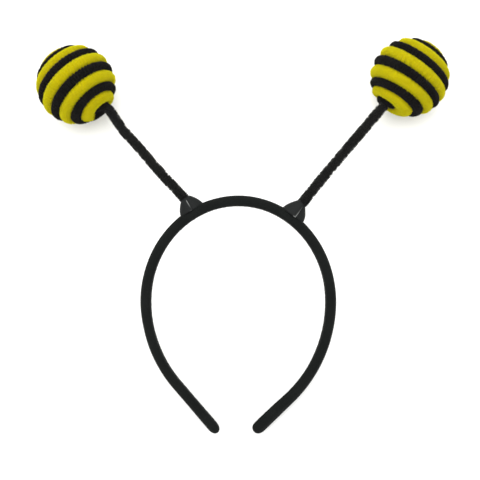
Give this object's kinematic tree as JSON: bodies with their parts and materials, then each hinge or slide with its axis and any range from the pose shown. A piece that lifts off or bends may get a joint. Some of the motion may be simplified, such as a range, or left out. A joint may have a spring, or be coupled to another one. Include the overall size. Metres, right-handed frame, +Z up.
{
  "type": "antenna headband",
  "caption": "Springy black headband with wired chenille antennae that end in balls wound with yellow and black strands.",
  "frame": {"origin": "middle of the footprint's bounding box, on the surface that the headband lies on", "axes": "+Z up from that surface, +Y from the hoop's tips towards its crown and the balls, +X towards the right antenna"},
  "size_m": [0.2604, 0.2476, 0.0493],
  "materials": {
    "black_cloth": "stretched matt cloth sleeve",
    "black_chenille": "short dense pile",
    "yellow_chenille": "short dense pile",
    "black_leatherette": "smooth, light cut edge",
    "foam": "closed-cell foam, hidden"
  },
  "bodies": {
    "root": {"band": "black_cloth", "stem_left": "black_chenille", "stem_right": "black_chenille", "collar_left": "black_leatherette", "collar_right": "black_leatherette", "ball_core_left": "foam", "ball_core_right": "foam", "yellow_strand_left": "yellow_chenille", "yellow_strand_right": "yellow_chenille", "black_strand_left": "black_chenille", "black_strand_right": "black_chenille"}
  },
  "joints": []
}
